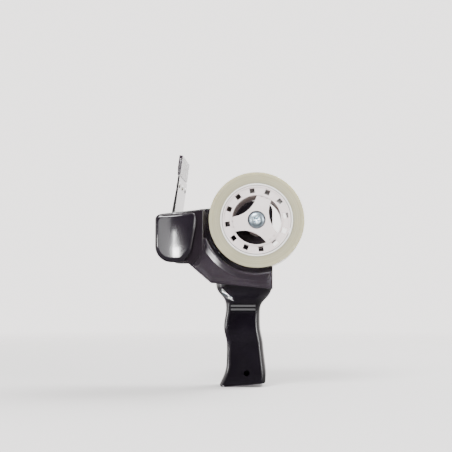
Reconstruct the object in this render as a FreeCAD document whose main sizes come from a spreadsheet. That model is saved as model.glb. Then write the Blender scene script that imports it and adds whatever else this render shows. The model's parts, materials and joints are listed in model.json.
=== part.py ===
"""Hand-held tape gun for packing tape on a 38 mm core.

Axes: +X points from the cutting head to the roll, +Y from the open side to the side plate, +Z up,
with the grip below. The origin is where the spindle axis meets the outer face of the side plate.
Depths are counted from that face towards the open side, so a point at depth D has Y = -D.
"""
import FreeCAD, Part
import math
import os
import Sketcher
from FreeCAD import Placement, Rotation, Vector

# Driving dimensions in millimetres and degrees: alias, value, what it measures.
DIMENSIONS = {
    "plate_depth": (3.0, "thickness of the side plate"),
    "head_depth": (52.8, "depth of the open side of the frame"),
    "body_right": (8.6, "right edge of plate and cradle"),
    "plate_top": (14.0, "top edge of the plate behind the roll"),
    "plate_shoulder": (-21.0, "where the top edge starts down to the head"),
    "plate_step_x": (-27.0, "end of that slope"),
    "plate_step_z": (9.8, "end of that slope"),
    "plate_brow_x": (-34.0, "upper corner of the plate above the head"),
    "plate_brow_z": (9.3, "upper corner of the plate above the head"),
    "plate_dip_x": (-38.0, "where the plate meets the head's top line"),
    "plate_dip_z": (4.2, "where the plate meets the head's top line"),
    "plate_corner": (6.0, "rounding of the plate's upper corners"),
    "head_right": (-29.0, "side of the head that faces the roll"),
    "head_wall_inner": (-31.2, "inner face of that side wall"),
    "head_top": (5.8, "top of the head at that wall"),
    "head_left": (-54.6, "front of the head"),
    "head_left_top": (3.0, "top of the head at its front"),
    "head_bottom": (-23.0, "underside of the head"),
    "head_knee": (-17.0, "where the side wall turns under the head"),
    "head_knee_inner": (-16.2, "the same turn on the inner face"),
    "chin_x": (-35.5, "lowest point of the head's wall"),
    "chin_z": (-25.5, "lowest point of the head's wall"),
    "chin_inner_x": (-37.2, "the same point on the inner face"),
    "chin_inner_z": (-24.0, "the same point on the inner face"),
    "head_nose": (8.5, "rounding of the head's lower front corner"),
    "head_round": (3.0, "rounding of the head's upper front corner"),
    "belly_x": (-24.9, "lower front corner of the cradle"),
    "belly_z": (-34.5, "lower front corner of the cradle"),
    "seat_right_z": (-37.8, "underside of the cradle at the back"),
    "cradle_radius": (29.2, "inner radius of the curved shelf"),
    "cradle_tip_x": (-27.35, "upper end of the shelf"),
    "cradle_tip_z": (-10.2, "upper end of the shelf"),
    "panel_radius": (30.2, "outer edge of the shelf's rim"),
    "panel_right": (7.2, "sunk panel, right side"),
    "panel_right_z": (-35.6, "sunk panel, lower right"),
    "panel_belly_x": (-24.6, "sunk panel, lower front"),
    "panel_belly_z": (-32.6, "sunk panel, lower front"),
    "panel_chin_x": (-33.2, "sunk panel, front"),
    "panel_chin_z": (-25.3, "sunk panel, front"),
    "panel_tip_x": (-27.6, "sunk panel, upper end"),
    "panel_sink": (1.5, "how far the panel is sunk"),
    "floor_radius": (32.8, "floor of the sunk panel, its arc"),
    "floor_right": (6.2, "floor of the panel, right side"),
    "floor_right_z": (-34.5, "floor of the panel, lower right"),
    "floor_belly_x": (-24.2, "floor of the panel, lower front"),
    "floor_belly_z": (-31.63, "floor of the panel, lower front"),
    "floor_chin_x": (-31.99, "floor of the panel, front"),
    "floor_chin_z": (-25.01, "floor of the panel, front"),
    "floor_tip_x": (-28.34, "floor of the panel, upper end"),
    "cheek_round": (0.7, "rounding of the cheek plate's outer edge"),
    "fascia_thickness": (2.8, "wall of the cradle on the open side"),
    "hollow_radius": (31.8, "top of the hollow under the shelf"),
    "hollow_right": (6.4, "hollow, right side"),
    "hollow_right_z": (-35.2, "hollow, lower right"),
    "hollow_belly_x": (-24.2, "hollow, lower front"),
    "hollow_belly_z": (-32.0, "hollow, lower front"),
    "hollow_chin_x": (-31.8, "hollow, front"),
    "hollow_chin_z": (-25.6, "hollow, front"),
    "hollow_tip_x": (-26.9, "hollow, upper end"),
    "post_radius": (5.5, "spindle post"),
    "post_end": (44.7, "depth where the post ends"),
    "pillar_radius": (2.5, "screw pillar of the head"),
    "pillar_x": (-36.4, "screw pillar of the head"),
    "pillar_z": (0.4, "screw pillar of the head"),
    "base_screw_x": (-49.8, "screw into the blade base"),
    "base_screw_z": (-0.9, "screw into the blade base"),
    "small_screw_radius": (1.1, "shank of the cheek screws"),
    "small_head_radius": (2.0, "head of the cheek screws"),
    "small_head_height": (0.9, "head of the cheek screws"),
    "small_screw_length": (9.0, "shank length of the cheek screws"),
    "cheek_thickness": (1.7, "flat cheek plate on the open side"),
    "shield_left": (-55.2, "domed shield, front"),
    "shield_right": (-32.9, "domed shield, side towards the roll"),
    "shield_top_left": (3.1, "domed shield, top at the front"),
    "shield_top_right": (3.9, "domed shield, top at the roll side"),
    "shield_waist_z": (-3.0, "where the shield starts to narrow"),
    "shield_low_x": (-35.6, "narrowing side, lower end"),
    "shield_low_z": (-17.5, "narrowing side, lower end"),
    "shield_toe_x": (-40.0, "right end of the shield's bottom"),
    "shield_bottom": (-23.3, "bottom of the shield"),
    "shield_thickness": (2.8, "height of the dome"),
    "shield_edge": (2.2, "rounding of the dome's rim"),
    "shield_nose": (9.0, "rounding of the lower front corner"),
    "shield_corner": (3.0, "rounding of the upper corners"),
    "shield_flank": (5.5, "rounding of the lower corners at the roll side"),
    "shield_hollow": (1.3, "hollow under the dome"),
    "shield_hollow_radius": (7.0, "hollow under the dome"),
    "shield_hollow_z": (-10.1, "hollow under the dome, height of its centre"),
    "base_left": (-52.4, "blade base, front"),
    "base_top": (2.6, "blade base, top"),
    "base_bottom": (-5.2, "blade base, underside"),
    "base_top_x": (-45.8, "leaning face of the blade base, at its top"),
    "base_bottom_x": (-46.89, "leaning face of the blade base, at its bottom"),
    "blade_foot_x": (-46.44, "middle of the blade plate, lower end"),
    "blade_lean": (7.95, "lean of the blade plate towards the roll, in degrees"),
    "blade_plate_half": (0.4, "half the thickness of the blade plate"),
    "blade_plate_height": (29.5, "height of the blade plate"),
    "blade_plate_start": (3.4, "depth where the blade plate starts"),
    "blade_plate_width": (49.0, "width of the blade plate"),
    "ear_foot": (8.6, "height of the ear's lower end on the plate"),
    "ear_reach": (0.9, "width of the ear at its lower end"),
    "ear_top": (29.0, "height where the ear runs out"),
    "ear_thickness": (0.8, "sheet thickness of the ears"),
    "blade_left": (-0.9, "blade strip, front face in the plate's frame"),
    "blade_foot": (20.5, "blade strip, lower edge in the plate's frame"),
    "blade_top": (37.9, "root of the teeth in the plate's frame"),
    "tooth_tip": (39.5, "tips of the teeth in the plate's frame"),
    "tooth_pitch": (1.9, "pitch of the teeth"),
    "tooth_half": (0.95, "half the pitch of the teeth"),
    "blade_start": (4.6, "depth where the blade strip starts"),
    "blade_width": (45.6, "width of the blade strip"),
    "guard_left": (-1.6, "blade guard, front face in the plate's frame"),
    "guard_lip_left": (-1.2, "the same face at its thin lower lip"),
    "guard_waist": (34.5, "height where the lip has its full thickness"),
    "guard_right": (0.3, "blade guard, back face in the plate's frame"),
    "guard_slot_left": (-1.0, "slot of the guard in the plate's frame"),
    "guard_slot_right": (-0.3, "slot of the guard in the plate's frame"),
    "guard_foot": (30.4, "guard, lower edge in the plate's frame"),
    "guard_slot_top": (39.8, "guard, end of its slot in the plate's frame"),
    "guard_top": (41.2, "guard, top edge in the plate's frame"),
    "guard_start": (4.0, "depth where the guard starts"),
    "guard_width": (46.8, "width of the guard"),
    "rivet_radius": (0.9, "shank of the blade rivets"),
    "rivet_head_radius": (1.7, "head of the blade rivets"),
    "rivet_crown_radius": (1.0, "crown of the rivets' heads"),
    "rivet_head_height": (0.5, "height of the rivets' heads"),
    "rivet_first": (9.4, "depth of the first rivet"),
    "rivet_second": (27.9, "depth of the second rivet"),
    "rivet_third": (46.4, "depth of the third rivet"),
    "rivet_height": (25.0, "height of the rivets on the plate"),
    "roller_x": (-46.9, "tack roller axis"),
    "roller_z": (-14.1, "tack roller axis"),
    "axle_radius": (1.5, "roller axle"),
    "axle_start": (1.5, "depth where the axle starts"),
    "axle_end": (53.9, "depth where the axle ends"),
    "roller_bore": (1.57, "running bore of the roller core"),
    "roller_core_radius": (5.6, "outside of the roller core"),
    "roller_radius": (7.9, "outside of the rubber sleeve"),
    "roller_start": (4.1, "depth where the roller core starts"),
    "roller_end": (51.7, "depth where the roller core ends"),
    "sleeve_inset": (0.6, "core that shows at each end of the sleeve"),
    "washer_thickness": (0.9, "spacing washers of the roller"),
    "washer_radius": (3.6, "outside of the spacing washers"),
    "guide_x": (-37.6, "tape guide bar axis"),
    "guide_z": (-6.4, "tape guide bar axis"),
    "guide_radius": (1.25, "tape guide bar"),
    "core_radius": (19.0, "inside of the tape core"),
    "core_outer": (19.9, "outside of the tape core"),
    "tape_radius": (26.2, "outside of the wound tape"),
    "tape_start": (4.0, "depth where the tape starts"),
    "tape_end": (52.0, "depth where the tape ends"),
    "core_end": (52.2, "depth where the core ends"),
    "hub_radius": (18.7, "outside of the hub"),
    "hub_start": (3.5, "depth where the hub starts"),
    "hub_face": (52.0, "depth of the hub's open face"),
    "hub_lip_face": (52.5, "depth of the raised lips"),
    "hub_outer_lip": (18.0, "inner edge of the outer lip"),
    "hub_inner_lip": (14.2, "outer edge of the inner lip"),
    "hub_web_back": (50.2, "depth of the back of the web"),
    "hub_sleeve_inner": (17.4, "inside of the hub's outer sleeve"),
    "barrel_inner": (13.5, "inside of the middle barrel"),
    "barrel_outer": (14.5, "outside of the middle barrel"),
    "barrel_start": (15.0, "depth where the middle barrel starts"),
    "hub_tube_radius": (7.0, "outside of the bearing tube"),
    "hub_bore": (5.57, "running bore on the post"),
    "hub_floor_back": (44.9, "back of the floor under the screw"),
    "hub_floor": (46.4, "floor of the screw recess"),
    "hub_screw_hole": (2.2, "hole for the screw's shank"),
    "hub_recess": (4.9, "recess round the screw's head"),
    "window_centre": (22.5, "centre of the windows' inner arcs"),
    "window_radius": (15.4, "radius of the windows' inner arcs"),
    "window_turn": (11.0, "angle of the first window"),
    "spoke_turn": (71.0, "angle of the first spoke, where a pair of dimples lies"),
    "port_turn": (8.5, "angle of the first small port"),
    "port_inner": (14.7, "small ports, inner side"),
    "port_outer": (17.4, "small ports, outer side"),
    "port_half": (1.4, "small ports, half width"),
    "dimple_along": (13.0, "dimples, distance out along the spoke"),
    "dimple_aside": (1.5, "dimples, distance aside from its middle"),
    "dimple_radius": (0.5, "dimples, radius"),
    "dimple_depth": (0.6, "dimples, depth"),
    "screw_radius": (1.75, "shank of the hub screw"),
    "screw_start": (28.0, "depth of the hub screw's point"),
    "screw_seat": (50.7, "depth of the underside of its head"),
    "screw_head": (52.7, "depth of the top of its head"),
    "screw_head_radius": (4.35, "head of the hub screw"),
    "cross_half": (2.2, "half the length of the cross recess"),
    "cross_arm": (0.55, "half the width of the cross recess"),
    "cross_depth": (1.4, "depth of the cross recess"),
    "hub_washer_start": (50.0, "depth of the underside of the screw's washer"),
    "hub_washer_radius": (4.5, "outside of the screw's washer"),
    "spring_start": (47.5, "depth where the drag spring starts"),
    "spring_radius": (3.6, "mean radius of the drag spring"),
    "spring_wire": (0.3, "radius of the spring's wire"),
    "spring_pitch": (0.8, "pitch of the spring"),
    "drag_start": (46.6, "depth of the underside of the drag washer"),
    "drag_radius": (4.6, "outside of the drag washer"),
    "grip_depth": (26.4, "depth of the plane where the grip's halves meet"),
    "grip_wall": (2.2, "wall of the grip's halves"),
    "grip_corner_less": (1.65, "how much smaller the corner radii of the grip's hollow are"),
    "grip_crease": (25.0, "angle at which they meet the flat sides, in degrees"),
    "grip_foot_round": (1.2, "rounding of the grip's foot"),
    "tongue_left": (-14.5, "tongue that locks the grip in the frame"),
    "tongue_right": (0.5, "tongue that locks the grip in the frame"),
    "tongue_half": (6.5, "half the depth of the tongue"),
    "tongue_top": (-32.6, "top of the tongue"),
    "tongue_wall": (2.0, "wall of the tongue"),
    "mortise_floor": (-40.0, "where the tongue's slot in the frame starts"),
    "mortise_height": (7.0, "height of the tongue's slot"),
    "heel_left_z": (-92.3, "slanted foot of the grip, front"),
    "heel_right_z": (-90.2, "slanted foot of the grip, back"),
    "cavity_end": (-88.0, "lower end of the grip's hollow"),
    "grip_screw_x": (-5.9, "grip screw"),
    "grip_screw_z": (-84.5, "grip screw"),
    "grip_boss": (3.6, "boss round the grip screw"),
    "grip_access": (1.65, "access hole of the grip screw"),
    "grip_screw_radius": (0.9, "shank of the grip screw"),
    "grip_head_radius": (1.55, "head of the grip screw"),
    "grip_head_height": (1.2, "head of the grip screw"),
    "grip_seat": (2.6, "seat of the screw from the parting plane"),
    "grip_screw_reach": (7.0, "reach of the screw into the far half"),
    "ridge_left": (-14.6, "two ridges across the neck on each flat side, front end"),
    "ridge_right": (-0.9, "the same ridges, back end"),
    "ridge_root": (10.5, "inner edge of the ridges, from the parting plane"),
    "ridge_drop": (1.1, "height of their slanted upper faces"),
    "ridge_step": (0.3, "how far those faces lean out"),
    "ridge_under": (0.4, "height of their lower faces"),
    "ridge_one_z": (-46.6, "top of the upper ridge"),
    "ridge_one_depth": (12.4, "upper edge of its slanted face, from the parting plane"),
    "ridge_two_z": (-48.6, "top of the lower ridge"),
    "ridge_two_depth": (12.05, "upper edge of its slanted face, from the parting plane"),
    "ring_groove": (0.5, "depth of the two ring grooves on the plate's outer face"),
    "ring_one_inner": (9.5, "first ring groove, inner edge"),
    "ring_one_outer": (10.5, "first ring groove, outer edge"),
    "ring_two_inner": (27.4, "second ring groove, inner edge"),
    "ring_two_outer": (28.6, "second ring groove, outer edge"),
}

# Sections of the grip from the collar down: name, height, left side, right side, half depth,
# radius of the long edges.
GRIP_SECTIONS = [
    ("collar_top", -33.5, -22.8, 8.0, 19.4, 7.5),
    ("collar_lip", -38.4, -22.0, 7.9, 18.9, 7.5),
    ("cove", -41.4, -19.9, 6.3, 16.3, 8.5),
    ("flare", -44.2, -18.2, 3.8, 13.6, 8.5),
    ("neck", -47.4, -17.5, 1.8, 11.9, 5.0),
    ("throat", -51.5, -17.7, 1.3, 11.4, 4.0),
    ("palm", -57.4, -18.6, 1.3, 11.5, 4.0),
    ("middle", -64.0, -17.8, 2.2, 11.4, 4.0),
    ("waist", -71.0, -17.0, 3.2, 11.3, 4.0),
    ("heel", -79.0, -17.2, 4.1, 11.4, 4.0),
    ("ankle", -86.0, -18.8, 4.6, 11.6, 4.0),
    ("foot", -93.5, -21.8, 4.8, 11.8, 4.0),
]

# The three rivets of the blade, by the alias of their depth.
RIVETS = ("rivet_first", "rivet_second", "rivet_third")

# How many spokes the hub has, with a window between each two, and how many small ports.
SPOKES = 3
PORTS = 12

# How close to a named place an edge must lie to be picked for rounding.
NEAR = 0.05

# Far enough past the part in every direction for a cutting solid.
BEYOND = 130.0

doc = FreeCAD.newDocument("tape_gun")
sheet = doc.addObject("Spreadsheet::Sheet", "Dimensions")


def fill_sheet():
    """Write every driving dimension in the sheet, with its alias and its meaning."""
    rows = [(alias, value, note) for alias, (value, note) in DIMENSIONS.items()]
    for name, height, left, right, half, corner in GRIP_SECTIONS:
        rows.append((name + "_height", height, "grip section, height"))
        rows.append((name + "_left", left, "grip section, left side"))
        rows.append((name + "_right", right, "grip section, right side"))
        rows.append((name + "_half", half, "grip section, half depth"))
        rows.append((name + "_corner", corner, "grip section, radius of the long edges"))
    for row, (alias, value, note) in enumerate(rows, 1):
        sheet.set("A%d" % row, note)
        sheet.set("B%d" % row, str(value))
        sheet.setAlias("B%d" % row, alias)
    doc.recompute()


def size(alias):
    """The value of one cell of the sheet."""
    return float(sheet.get(alias))


def is_number(word):
    return word.replace(".", "", 1).isdigit()


def amount(formula):
    """The value of a sum such as 'plate_depth + 2', written with spaces."""
    total = 0.0
    sign = 1.0
    for word in formula.split():
        if word in ("+", "-"):
            sign = 1.0 if word == "+" else -1.0
            continue
        total += sign * (float(word) if is_number(word) else size(word))
        sign = 1.0
    return total


def linked(formula):
    """The same sum as an expression that reads the sheet."""
    words = []
    for word in formula.split():
        plain = word in ("+", "-") or is_number(word)
        words.append(word if plain else "Dimensions." + word)
    return " ".join(words)


def minus(formula):
    """The same sum with every sign turned."""
    flip = {"+": "-", "-": "+"}
    words = [flip.get(word, word) for word in formula.split()]
    if words[0] == "+":
        return " ".join(words[1:])
    return " ".join(words if words[0] == "-" else ["-"] + words)


def new_body(label):
    body = doc.addObject("PartDesign::Body", label)
    body.Label = label
    return body


def sketch_on(body, role, label, offset="0", turn="0"):
    """A sketch on one of the body's own planes, moved along its normal and turned about it."""
    sketch = body.newObject("Sketcher::SketchObject", label)
    plane = [feature for feature in body.Origin.OriginFeatures if feature.Role == role][0]
    sketch.AttachmentSupport = [(plane, "")]
    sketch.MapMode = "FlatFace"
    turned_by = Rotation(Vector(0, 0, 1), amount(turn))
    sketch.AttachmentOffset = Placement(Vector(0, 0, amount(offset)), turned_by)
    if offset != "0":
        sketch.setExpression("AttachmentOffset.Base.z", linked(offset))
    if turn != "0":
        sketch.setExpression("AttachmentOffset.Rotation.Angle", linked(turn))
    return sketch


def pin_point(sketch, geometry, point, across, up):
    """Hold one point of the sketch at two formulas; None leaves a direction free."""
    for kind, formula, axis in (("DistanceX", across, -2), ("DistanceY", up, -1)):
        if formula is None:
            continue
        if formula == "0":
            sketch.addConstraint(Sketcher.Constraint("PointOnObject", geometry, point, axis))
            continue
        constraint = Sketcher.Constraint(kind, -1, 1, geometry, point, amount(formula))
        index = sketch.addConstraint(constraint)
        sketch.setExpression("Constraints[%d]" % index, linked(formula))


def hold_radius(sketch, geometry, radius):
    index = sketch.addConstraint(Sketcher.Constraint("Radius", geometry, amount(radius)))
    sketch.setExpression("Constraints[%d]" % index, linked(radius))


def polygon(sketch, corners):
    """A closed outline with straight sides."""
    points = [Vector(amount(across), amount(up), 0) for across, up in corners]
    first = sketch.GeometryCount
    count = len(points)
    for index in range(count):
        sketch.addGeometry(Part.LineSegment(points[index], points[(index + 1) % count]), False)
    for index in range(count):
        following = first + (index + 1) % count
        sketch.addConstraint(Sketcher.Constraint("Coincident", first + index, 2, following, 1))
    for index, (across, up) in enumerate(corners):
        pin_point(sketch, first + index, 1, across, up)


def arched(sketch, corners, radius):
    """A closed outline whose first and last corners lie on an arc below the spindle axis.

    The corners run from the arc's right end round the bottom to its left end.
    """
    reach = amount(radius)
    points = []
    for across, up in corners:
        if up is None:
            points.append(Vector(amount(across), -math.sqrt(reach ** 2 - amount(across) ** 2), 0))
        else:
            points.append(Vector(amount(across), amount(up), 0))
    last = len(points) - 1
    for index in range(last):
        sketch.addGeometry(Part.LineSegment(points[index], points[index + 1]), False)
    start = math.atan2(points[last].y, points[last].x)
    finish = math.atan2(points[0].y, points[0].x)
    ring = Part.Circle(Vector(0, 0, 0), Vector(0, 0, 1), reach)
    sketch.addGeometry(Part.ArcOfCircle(ring, start, finish), False)
    for index in range(last - 1):
        sketch.addConstraint(Sketcher.Constraint("Coincident", index, 2, index + 1, 1))
    sketch.addConstraint(Sketcher.Constraint("Coincident", last, 3, -1, 1))
    sketch.addConstraint(Sketcher.Constraint("Coincident", last - 1, 2, last, 1))
    sketch.addConstraint(Sketcher.Constraint("Coincident", last, 2, 0, 1))
    hold_radius(sketch, last, radius)
    for index, (across, up) in enumerate(corners[:-1]):
        pin_point(sketch, index, 1, across, up)
    pin_point(sketch, last - 1, 2, corners[-1][0], corners[-1][1])


def circle(sketch, across, up, radius):
    middle = Vector(amount(across), amount(up), 0)
    index = sketch.addGeometry(Part.Circle(middle, Vector(0, 0, 1), amount(radius)), False)
    pin_point(sketch, index, 3, across, up)
    hold_radius(sketch, index, radius)


def feature(body, kind, sketch, label, length):
    """A pad or a pocket of a sketch, with its length bound to the sheet."""
    made = body.newObject("PartDesign::" + kind, label)
    made.Profile = sketch
    made.setExpression("Length", linked(length))
    return made


def pad(body, sketch, label, length):
    return feature(body, "Pad", sketch, label, length)


def pocket(body, sketch, label, length):
    """A cut from the sketch towards the side plate, checked to have removed something."""
    doc.recompute()
    before = body.Shape.Volume
    made = feature(body, "Pocket", sketch, label, length)
    doc.recompute()
    if body.Shape.Volume >= before:
        raise RuntimeError(label + " removed nothing")
    return made


def polar(body, original, sketch, label, count):
    """Repeat a feature evenly round the spindle axis."""
    pattern = body.newObject("PartDesign::PolarPattern", label)
    pattern.Originals = [original]
    pattern.Axis = (sketch, ["N_Axis"])
    pattern.Angle = 360
    pattern.Occurrences = count
    body.Tip = pattern
    return pattern


def fillet(body, edges, label, radius):
    """Round the edges of the body's last shape that the test picks."""
    doc.recompute()
    base = body.Tip
    names = ["Edge%d" % (i + 1) for i, edge in enumerate(base.Shape.Edges) if edges(edge)]
    made = body.newObject("PartDesign::Fillet", label)
    made.Base = (base, names)
    made.setExpression("Radius", linked(radius))
    return made


def cross_edge(across, up):
    """Test for an edge along the depth at one corner of an outline."""
    def test(edge):
        box = edge.BoundBox
        thin = box.XLength < NEAR and box.ZLength < NEAR
        return thin and abs(box.XMin - amount(across)) < NEAR and abs(box.ZMin - amount(up)) < NEAR
    return test


def at_depth(depth):
    """Test for an edge that lies in one depth plane."""
    def test(edge):
        box = edge.BoundBox
        return box.YLength < NEAR and abs(box.YMin + amount(depth)) < NEAR
    return test


def turned(label, profile):
    """A body of revolution about the spindle direction; the profile is radius and depth."""
    body = new_body(label)
    sketch = sketch_on(body, "XY_Plane", label + "_profile")
    polygon(sketch, [(radius, minus(depth)) for radius, depth in profile])
    made = body.newObject("PartDesign::Revolution", label + "_turn")
    made.Profile = sketch
    made.ReferenceAxis = (sketch, ["V_Axis"])
    made.Angle = 360
    return body


def ring(label, inner, outer, start, end):
    return turned(label, [(inner, start), (outer, start), (outer, end), (inner, end)])


def move_to(body, across, up):
    """Put a turned body on an axis of its own."""
    body.setExpression("Placement.Base.x", linked(across))
    body.setExpression("Placement.Base.z", linked(up))


def group(label, members):
    """Identical small pieces that share one node."""
    made = doc.addObject("Part::Compound", label)
    made.Label = label
    made.Links = members
    return made


def coded(label, shape, place=Placement()):
    """A free shape that no sketch or primitive describes."""
    made = doc.addObject("Part::Feature", label)
    made.Label = label
    made.Shape = shape
    made.Placement = place
    return made


def side_frame():
    """Side plate, spindle post, curved cradle and the head's side wall in one moulding."""
    body = new_body("side_frame")
    outline = sketch_on(body, "XZ_Plane", "plate_outline")
    polygon(outline, [
        ("body_right", "plate_top"), ("plate_shoulder", "plate_top"), ("plate_step_x", "plate_step_z"),
        ("plate_brow_x", "plate_brow_z"), ("plate_dip_x", "plate_dip_z"),
        ("head_left", "head_left_top"), ("head_left", "head_bottom"), ("chin_inner_x", "head_bottom"),
        ("chin_x", "chin_z"), ("belly_x", "belly_z"), ("body_right", "seat_right_z")])
    pad(body, outline, "plate", "plate_depth")
    fillet(body, cross_edge("head_left", "head_bottom"), "plate_nose", "head_nose")
    fillet(body, cross_edge("head_left", "head_left_top"), "plate_front", "head_round")
    fillet(body, cross_edge("body_right", "plate_top"), "plate_back", "plate_corner")
    fillet(body, cross_edge("plate_shoulder", "plate_top"), "plate_neck", "plate_corner")

    saddle = sketch_on(body, "XZ_Plane", "cradle_outline", "plate_depth")
    arched(saddle, [
        ("body_right", None), ("body_right", "seat_right_z"), ("belly_x", "belly_z"), ("chin_x", "chin_z"),
        ("head_right", "head_knee"), ("head_right", "cradle_tip_z"), ("cradle_tip_x", None)],
        "cradle_radius")
    pad(body, saddle, "cradle", "head_depth - plate_depth")

    wall = sketch_on(body, "XZ_Plane", "head_wall_outline", "plate_depth")
    polygon(wall, [
        ("head_right", "head_top"), ("head_right", "head_knee"), ("chin_x", "chin_z"),
        ("chin_inner_x", "chin_inner_z"), ("head_wall_inner", "head_knee_inner"),
        ("head_wall_inner", "head_top")])
    pad(body, wall, "head_wall", "head_depth - plate_depth")

    pillar = sketch_on(body, "XZ_Plane", "pillar_outline", "plate_depth")
    circle(pillar, "pillar_x", "pillar_z", "pillar_radius")
    pad(body, pillar, "pillar", "head_depth - plate_depth")

    post = sketch_on(body, "XZ_Plane", "post_outline", "plate_depth")
    circle(post, "0", "0", "post_radius")
    pad(body, post, "post", "post_end - plate_depth")

    hollow = sketch_on(body, "XZ_Plane", "hollow_outline", "head_depth - fascia_thickness")
    arched(hollow, [
        ("hollow_right", None), ("hollow_right", "hollow_right_z"), ("hollow_belly_x", "hollow_belly_z"),
        ("hollow_chin_x", "hollow_chin_z"), ("hollow_tip_x", None)], "hollow_radius")
    pocket(body, hollow, "hollow", "head_depth - fascia_thickness - plate_depth")

    panel = sketch_on(body, "XZ_Plane", "panel_outline", "head_depth")
    arched(panel, [
        ("panel_right", None), ("panel_right", "panel_right_z"), ("panel_belly_x", "panel_belly_z"),
        ("panel_chin_x", "panel_chin_z"), ("panel_tip_x", None)], "panel_radius")
    floor = sketch_on(body, "XZ_Plane", "panel_floor_outline", "head_depth - panel_sink")
    arched(floor, [
        ("floor_right", None), ("floor_right", "floor_right_z"), ("floor_belly_x", "floor_belly_z"),
        ("floor_chin_x", "floor_chin_z"), ("floor_tip_x", None)], "floor_radius")
    doc.recompute()
    sunk = body.newObject("PartDesign::SubtractiveLoft", "panel")
    sunk.Profile = panel
    sunk.Sections = [floor]
    sunk.Ruled = True

    mortise = sketch_on(body, "XY_Plane", "mortise_outline", "mortise_floor + mortise_height")
    polygon(mortise, [
        ("tongue_left", "tongue_half - grip_depth"), ("tongue_right", "tongue_half - grip_depth"),
        ("tongue_right", "- grip_depth - tongue_half"), ("tongue_left", "- grip_depth - tongue_half")])
    pocket(body, mortise, "mortise", "mortise_height")

    for name in ("ring_one", "ring_two"):
        groove = sketch_on(body, "XZ_Plane", name + "_outline", "ring_groove")
        circle(groove, "0", "0", name + "_outer")
        circle(groove, "0", "0", name + "_inner")
        pocket(body, groove, name, "ring_groove")

    bores = [
        ("0", "0", "screw_radius", "post_end", "post_end - screw_start"),
        ("roller_x", "roller_z", "axle_radius", "plate_depth", "plate_depth - axle_start"),
        ("guide_x", "guide_z", "guide_radius", "plate_depth", "plate_depth - axle_start"),
        ("pillar_x", "pillar_z", "small_screw_radius", "head_depth", "small_screw_length"),
    ]
    for number, (across, up, radius, start, length) in enumerate(bores):
        bore = sketch_on(body, "XZ_Plane", "bore_outline_%d" % number, start)
        circle(bore, across, up, radius)
        pocket(body, bore, "bore_%d" % number, length)
    return body


def cheek_plate():
    """Flat cheek that closes the head on the open side, under the shield."""
    body = new_body("cheek_plate")
    outline = sketch_on(body, "XZ_Plane", "cheek_outline", "head_depth")
    polygon(outline, [
        ("head_right", "head_top"), ("head_left", "head_left_top"), ("head_left", "head_bottom"),
        ("chin_inner_x", "head_bottom"), ("chin_x", "chin_z"), ("head_right", "head_knee")])
    pad(body, outline, "cheek", "cheek_thickness")
    fillet(body, cross_edge("head_left", "head_bottom"), "cheek_nose", "head_nose")
    fillet(body, cross_edge("head_left", "head_left_top"), "cheek_front", "head_round")
    top = "head_depth + cheek_thickness"
    fillet(body, at_depth(top), "cheek_rim", "cheek_round")
    holes = [
        ("roller_x", "roller_z", "axle_radius"),
        ("guide_x", "guide_z", "guide_radius"),
        ("pillar_x", "pillar_z", "small_screw_radius"),
        ("base_screw_x", "base_screw_z", "small_screw_radius"),
    ]
    for number, (across, up, radius) in enumerate(holes):
        hole = sketch_on(body, "XZ_Plane", "cheek_hole_outline_%d" % number, top)
        circle(hole, across, up, radius)
        pocket(body, hole, "cheek_hole_%d" % number, "cheek_thickness")
    for number, (across, up, radius) in enumerate(holes[2:]):
        sink = sketch_on(body, "XZ_Plane", "cheek_sink_outline_%d" % number, top)
        circle(sink, across, up, "small_head_radius")
        pocket(body, sink, "cheek_sink_%d" % number, "small_head_height")
    return body


def cheek_screws():
    """Two short screws that hold the cheek plate."""
    screws = []
    top = "head_depth + cheek_thickness"
    point = "head_depth - small_screw_length"
    for name in ("pillar", "base_screw"):
        screw = turned(name + "_screw", [
            ("0", point), ("small_screw_radius", point),
            ("small_screw_radius", top + " - small_head_height"),
            ("small_head_radius", top + " - small_head_height"), ("small_head_radius", top), ("0", top)])
        move_to(screw, name + "_x", name + "_z")
        screws.append(screw)
    return group("cheek_screws", screws)


def shield():
    """Glossy domed cover of the head on the open side."""
    body = new_body("head_shield")
    start = "head_depth + cheek_thickness"
    outline = sketch_on(body, "XZ_Plane", "shield_outline", start)
    polygon(outline, [
        ("shield_left", "shield_top_left"), ("shield_left", "shield_bottom"),
        ("shield_toe_x", "shield_bottom"), ("shield_low_x", "shield_low_z"),
        ("shield_right", "shield_waist_z"), ("shield_right", "shield_top_right")])
    pad(body, outline, "shield_block", "shield_thickness")
    fillet(body, cross_edge("shield_left", "shield_bottom"), "shield_front_low", "shield_nose")
    fillet(body, cross_edge("shield_left", "shield_top_left"), "shield_front_top", "shield_corner")
    fillet(body, cross_edge("shield_right", "shield_top_right"), "shield_back_top", "shield_corner")
    fillet(body, cross_edge("shield_toe_x", "shield_bottom"), "shield_back_low", "shield_flank")
    fillet(body, cross_edge("shield_low_x", "shield_low_z"), "shield_side_low", "shield_flank")
    fillet(body, at_depth(start + " + shield_thickness"), "shield_dome", "shield_edge")
    hollow = sketch_on(body, "XZ_Plane", "shield_hollow_outline", start + " + shield_hollow")
    circle(hollow, "roller_x", "shield_hollow_z", "shield_hollow_radius")
    pocket(body, hollow, "shield_recess", "shield_hollow")
    return body


def blade_base():
    """Block between the cheeks that carries the blade plate on its leaning face."""
    body = new_body("blade_base")
    outline = sketch_on(body, "XZ_Plane", "base_outline", "plate_depth")
    polygon(outline, [
        ("base_left", "base_top"), ("base_left", "base_bottom"), ("base_bottom_x", "base_bottom"),
        ("base_top_x", "base_top")])
    pad(body, outline, "base_block", "head_depth - plate_depth")
    hole = sketch_on(body, "XZ_Plane", "base_hole_outline", "head_depth")
    circle(hole, "base_screw_x", "base_screw_z", "small_screw_radius")
    pocket(body, hole, "base_hole", "small_screw_length")
    return body


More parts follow.
